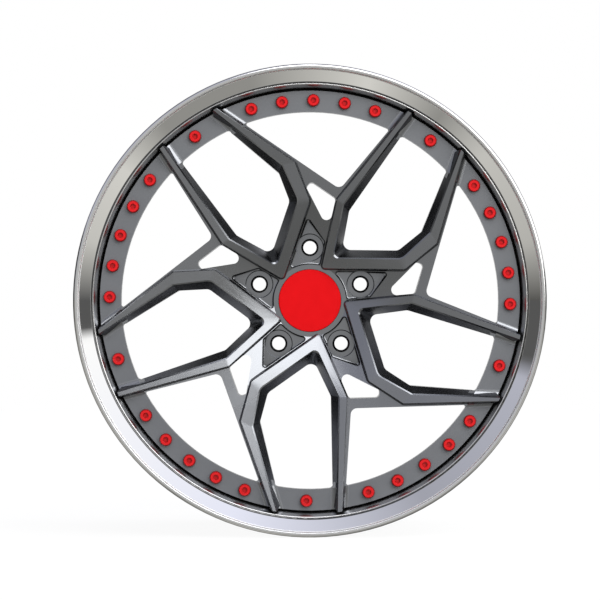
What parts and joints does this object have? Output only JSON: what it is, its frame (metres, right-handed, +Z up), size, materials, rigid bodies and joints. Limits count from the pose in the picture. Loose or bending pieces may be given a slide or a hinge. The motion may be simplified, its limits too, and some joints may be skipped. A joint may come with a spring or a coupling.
{
  "type": "forged wheel",
  "caption": "Bolted multi-piece forged car wheel with swept V spokes, a polished stepped lip and a plain barrel; carries a tyre on a wheel hub.",
  "frame": {"origin": "on the wheel's axis, midway between the two bead seats, which is also the middle of its width", "axes": "+Y along the wheel's axis towards the vehicle, so the front faces -Y; +Z up, with one lug hole at the top"},
  "size_m": [0.522, 0.265, 0.522],
  "materials": {
    "gunmetal_alloy": "satin gunmetal coat",
    "polished_alloy": "mirror polished",
    "barrel_alloy": "satin",
    "sealant": "matte",
    "red_screw_steel": "gloss red",
    "plated_steel": "zinc plated",
    "red_plastic": "gloss red",
    "valve_alloy": "satin",
    "valve_rubber": "matte",
    "valve_brass": "plain",
    "black_plastic": "matte"
  },
  "bodies": {
    "root": {"wheel_centre": "gunmetal_alloy", "outer_lip": "polished_alloy", "inner_barrel": "barrel_alloy", "barrel_seal": "sealant", "assembly_bolts": "red_screw_steel", "assembly_washers": "plated_steel", "assembly_nuts": "plated_steel", "centre_cap": "red_plastic", "cap_spring": "plated_steel", "valve_stem": "valve_alloy", "valve_seal": "valve_rubber", "valve_nut": "valve_alloy", "valve_core": "valve_brass", "valve_cap": "black_plastic"}
  },
  "joints": []
}
